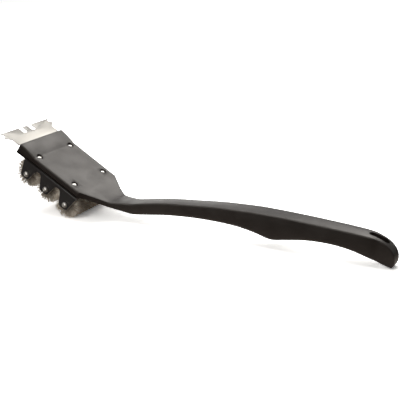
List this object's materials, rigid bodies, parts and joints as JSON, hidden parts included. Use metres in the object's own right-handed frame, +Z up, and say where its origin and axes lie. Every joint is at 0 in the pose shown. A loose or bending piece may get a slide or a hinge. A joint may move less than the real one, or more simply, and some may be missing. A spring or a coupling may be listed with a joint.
{
  "type": "grill cleaning brush",
  "caption": "Long-handled grill brush: wide black head with crosswise rolls of steel bristles in a lugged channel, a flat notched scraper blade, and an arched grip with a hang slot.",
  "frame": {"origin": "middle of the footprint, on the flat surface that the brush lies on", "axes": "+X from the scraper blade to the end of the grip, +Y across the head to the left of someone looking along +X, +Z up; the XZ plane is the plane of symmetry"},
  "size_m": [0.414, 0.0784, 0.0843],
  "materials": {
    "black_plastic": "satin black moulded polypropylene with a fine spark-eroded grain",
    "tray_plastic": "satin black moulding, a little duller than the handle",
    "coated_steel": "black coated sheet steel with bright sheared edges",
    "blade_steel": "fine brushed stainless sheet",
    "bristle_steel": "crimped stainless bristle wire",
    "wire_steel": "drawn steel wire",
    "bright_steel": "bright pressed steel"
  },
  "bodies": {
    "root": {"handle": "black_plastic", "scraper_blade": "blade_steel", "brush_tray": "tray_plastic", "roll_bracket": "coated_steel", "bristle_roll_front": "bristle_steel", "bristle_roll_middle": "bristle_steel", "bristle_roll_rear": "bristle_steel", "stem_wire_front_a": "wire_steel", "stem_wire_front_b": "wire_steel", "stem_wire_middle_a": "wire_steel", "stem_wire_middle_b": "wire_steel", "stem_wire_rear_a": "wire_steel", "stem_wire_rear_b": "wire_steel", "end_cap_front_left": "bright_steel", "end_cap_front_right": "bright_steel", "end_cap_middle_left": "bright_steel", "end_cap_middle_right": "bright_steel", "end_cap_rear_left": "bright_steel", "end_cap_rear_right": "bright_steel", "rivet_front_left": "bright_steel", "rivet_front_right": "bright_steel", "rivet_rear_left": "bright_steel", "rivet_rear_right": "bright_steel"}
  },
  "joints": []
}
